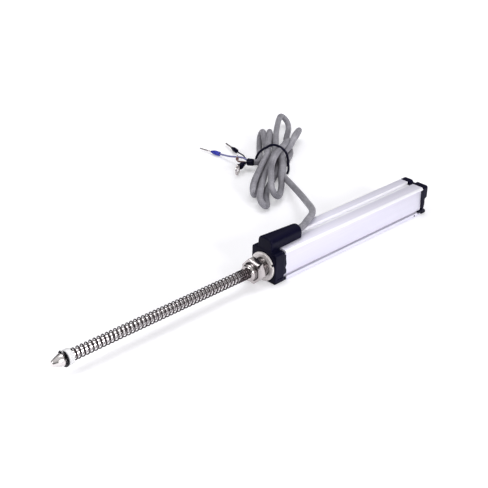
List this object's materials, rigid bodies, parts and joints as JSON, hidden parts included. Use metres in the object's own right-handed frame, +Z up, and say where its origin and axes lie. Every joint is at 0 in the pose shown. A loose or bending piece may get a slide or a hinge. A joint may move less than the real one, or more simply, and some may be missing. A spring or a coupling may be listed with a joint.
{
  "type": "spring return linear potentiometer",
  "caption": "Square aluminium linear position sensor with black end caps, threaded nose, sprung rod with a cone tip, and a tied hank of grey cable with ferruled wires.",
  "frame": {"origin": "centre of the housing's flat underside, half way along its length", "axes": "+X along the rod into the housing, towards the rear cap; +Y towards the side the cable leaves over; +Z up"},
  "size_m": [0.311, 0.1614, 0.0252],
  "materials": {
    "anodised_aluminium": "satin anodised",
    "black_plastic": "satin moulded",
    "black_rubber": "matt",
    "nickel_plate": "bright nickel plate",
    "bright_steel": "turned and polished",
    "black_spring_steel": "phosphated black",
    "bronze": "plain",
    "white_plastic": "plain",
    "natural_plastic": "plain",
    "track_board": "coated board",
    "grey_cable_jacket": "satin jacket",
    "blue_insulation": "satin",
    "pale_blue_insulation": "satin",
    "brown_insulation": "satin"
  },
  "bodies": {
    "housing": {"housing_tube": "anodised_aluminium", "front_cap": "black_plastic", "rear_cap": "black_plastic", "front_gasket": "black_rubber", "rear_gasket": "black_rubber", "threaded_bushing": "nickel_plate", "rod_bearing": "bronze", "lock_washer": "nickel_plate", "hex_nut": "nickel_plate", "return_spring": "bright_steel", "track_board": "track_board", "board_terminal_1": "nickel_plate", "board_terminal_2": "nickel_plate", "board_terminal_3": "nickel_plate", "inner_lead_1": "brown_insulation", "inner_lead_2": "blue_insulation", "inner_lead_3": "black_plastic", "cable_lead": "grey_cable_jacket", "cable_hank": "grey_cable_jacket", "cable_tie": "black_plastic", "end_sleeve": "black_plastic", "wire_black": "black_plastic", "wire_blue": "pale_blue_insulation", "wire_brown": "brown_insulation", "wire_shield": "black_plastic", "ferrule_black_sleeve": "black_plastic", "ferrule_black_pin": "nickel_plate", "ferrule_blue_sleeve": "blue_insulation", "ferrule_blue_pin": "nickel_plate", "ferrule_brown_sleeve": "brown_insulation", "ferrule_brown_pin": "nickel_plate", "ring_terminal_sleeve": "black_plastic", "ring_terminal": "nickel_plate"},
    "shaft": {"rod": "bright_steel", "cone_tip": "bright_steel", "e_clip": "black_spring_steel", "spring_collar": "white_plastic", "wiper_carriage": "natural_plastic", "wiper_fingers": "bronze", "stop_buffer": "black_rubber", "retaining_ring": "black_spring_steel"}
  },
  "joints": [
    {"name": "shaft_slide", "type": "slide", "parent": "housing", "child": "shaft", "axis": [1, 0, 0], "range_m": [0, 0.075], "stiffness_N_per_m": 33, "springref_m": -0.06, "deforming": ["return_spring"]}
  ]
}
